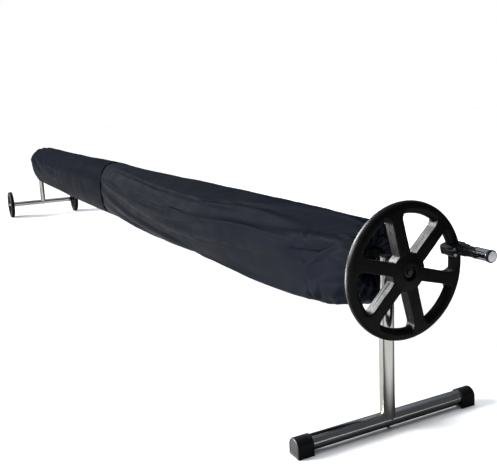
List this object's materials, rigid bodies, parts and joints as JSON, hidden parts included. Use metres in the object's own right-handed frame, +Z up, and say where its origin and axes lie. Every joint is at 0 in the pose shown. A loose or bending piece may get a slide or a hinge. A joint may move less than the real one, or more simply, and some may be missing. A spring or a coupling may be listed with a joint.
{
  "type": "pool cover reel",
  "caption": "Pool cover reel: wound blanket in a long navy sleeve, hand wheel with crank grip, foot stand at one end and wheeled stand at the other.",
  "frame": {"origin": "on the ground under the middle of the object's bounding box", "axes": "+X along the reel towards the hand wheel, +Y across it, +Z up"},
  "size_m": [6.6852, 0.748, 0.7772],
  "materials": {
    "polished_stainless": "polished",
    "mill_aluminium": "satin",
    "plated_steel": "satin",
    "chrome_sleeve": "polished",
    "black_moulded_plastic": "satin",
    "black_rubber": "matte",
    "grey_bearing_plastic": "satin",
    "silver_cap": "gloss",
    "bubble_blanket": "satin",
    "navy_polyester": "matte"
  },
  "bodies": {
    "near_stand": {"near_foot_tube": "polished_stainless", "near_post_tube": "polished_stainless", "near_post_insert": "plated_steel", "near_post_bolt": "plated_steel", "near_post_cap": "black_moulded_plastic", "near_bearing_bush": "grey_bearing_plastic", "near_foot_cap_left": "black_rubber", "near_foot_cap_right": "black_rubber"},
    "reel": {"handwheel": "black_moulded_plastic", "handwheel_washer": "plated_steel", "handwheel_bolt": "plated_steel", "near_axle": "plated_steel", "near_axle_collar": "plated_steel", "near_reel_plug": "black_moulded_plastic", "near_drive_pin": "plated_steel", "reel_tube_near": "mill_aluminium", "near_tube_screw": "plated_steel", "reel_tube_middle": "mill_aluminium", "far_tube_screw": "plated_steel", "reel_tube_far": "mill_aluminium", "far_drive_pin": "plated_steel", "far_reel_plug": "black_moulded_plastic", "far_axle_collar": "plated_steel", "far_axle": "plated_steel", "far_axle_washer": "plated_steel", "blanket_roll": "bubble_blanket", "grip_clamp_back": "black_moulded_plastic", "grip_clamp_front": "black_moulded_plastic", "grip_clamp_bolt_upper": "plated_steel", "grip_clamp_bolt_lower": "plated_steel", "grip_spindle": "plated_steel"},
    "grip": {"grip_body": "black_moulded_plastic", "grip_sleeve": "chrome_sleeve", "grip_end_ring": "black_moulded_plastic", "grip_end_cap": "silver_cap"},
    "cover": {"sleeve_near": "navy_polyester", "sleeve_far": "navy_polyester"},
    "far_stand": {"far_cross_tube": "polished_stainless", "far_post_tube": "polished_stainless", "far_post_insert": "plated_steel", "far_post_bolt": "plated_steel", "far_post_cap": "black_moulded_plastic", "far_bearing_bush": "grey_bearing_plastic", "left_tube_plug": "black_moulded_plastic", "left_stub_axle": "plated_steel", "left_wheel_washer": "plated_steel", "right_tube_plug": "black_moulded_plastic", "right_stub_axle": "plated_steel", "right_wheel_washer": "plated_steel"},
    "left_wheel": {"left_tyre": "black_rubber", "left_wheel_centre": "black_moulded_plastic", "left_wheel_bush": "grey_bearing_plastic", "left_hub_cap": "silver_cap"},
    "right_wheel": {"right_tyre": "black_rubber", "right_wheel_centre": "black_moulded_plastic", "right_wheel_bush": "grey_bearing_plastic", "right_hub_cap": "silver_cap"}
  },
  "joints": [
    {"name": "reel_spin", "type": "hinge", "parent": "near_stand", "child": "reel", "pos_m": [3.09135, 0, 0.545], "axis": [0.9998, 0, -0.0176], "continuous": true},
    {"name": "grip_spin", "type": "hinge", "parent": "reel", "child": "grip", "pos_m": [3.30965, 0.19123, 0.58848], "axis": [0.9998, 0, -0.0176], "continuous": true},
    {"name": "cover_turn", "type": "hinge", "parent": "near_stand", "child": "cover", "pos_m": [0.09182, 0, 0.59793], "axis": [0.9998, 0, -0.0176], "continuous": true},
    {"name": "far_stand_swing", "type": "hinge", "parent": "near_stand", "child": "far_stand", "pos_m": [-3.19865, 0, 0.656], "axis": [0.9998, 0, -0.0176], "range_deg": [-12, 12]},
    {"name": "left_wheel_spin", "type": "hinge", "parent": "far_stand", "child": "left_wheel", "pos_m": [-3.19865, -0.354, 0.144], "axis": [0, 1, 0], "continuous": true},
    {"name": "right_wheel_spin", "type": "hinge", "parent": "far_stand", "child": "right_wheel", "pos_m": [-3.19865, 0.354, 0.144], "axis": [0, 1, 0], "continuous": true}
  ]
}
